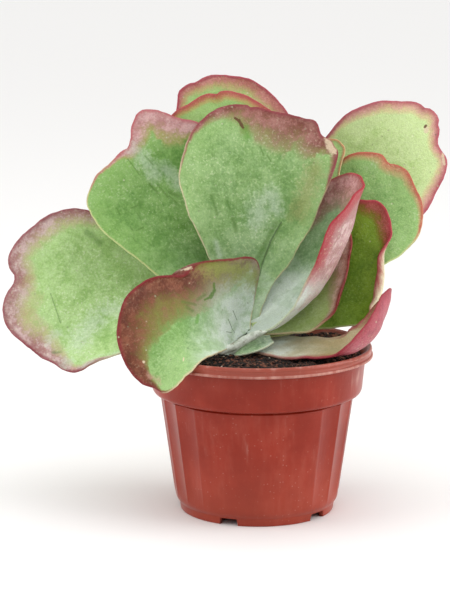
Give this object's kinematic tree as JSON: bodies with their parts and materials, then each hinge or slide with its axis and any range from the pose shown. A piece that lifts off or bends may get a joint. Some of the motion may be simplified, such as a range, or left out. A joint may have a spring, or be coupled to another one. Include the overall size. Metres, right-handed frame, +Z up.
{
  "type": "potted paddle plant",
  "caption": "Rosette succulent with broad fleshy paddle leaves on a short stem, standing in a round plastic nursery pot.",
  "frame": {"origin": "middle of the pot's underside, on the surface that the pot stands on", "axes": "+Z up along the pot's axis; the plant's open front faces -Y and its tallest leaves lean towards +Y"},
  "size_m": [0.2391, 0.145, 0.2237],
  "materials": {
    "pot_plastic": "satin injection-moulded plastic",
    "peat": "loose damp peat",
    "stem_skin": "waxy pale skin",
    "leaf_flesh": "waxy fleshy leaf with a powdery bloom"
  },
  "bodies": {
    "root": {"pot": "pot_plastic", "soil": "peat", "stem": "stem_skin", "leaf_front_left": "leaf_flesh", "leaf_young": "leaf_flesh", "leaf_low_right": "leaf_flesh", "leaf_centre": "leaf_flesh", "leaf_folded": "leaf_flesh", "leaf_narrow": "leaf_flesh", "leaf_green": "leaf_flesh", "leaf_right": "leaf_flesh", "leaf_upper_right": "leaf_flesh", "leaf_inner": "leaf_flesh", "leaf_back": "leaf_flesh", "leaf_back_tall": "leaf_flesh", "leaf_upper_left": "leaf_flesh", "leaf_left": "leaf_flesh", "leaf_rear_left": "leaf_flesh"}
  },
  "joints": []
}
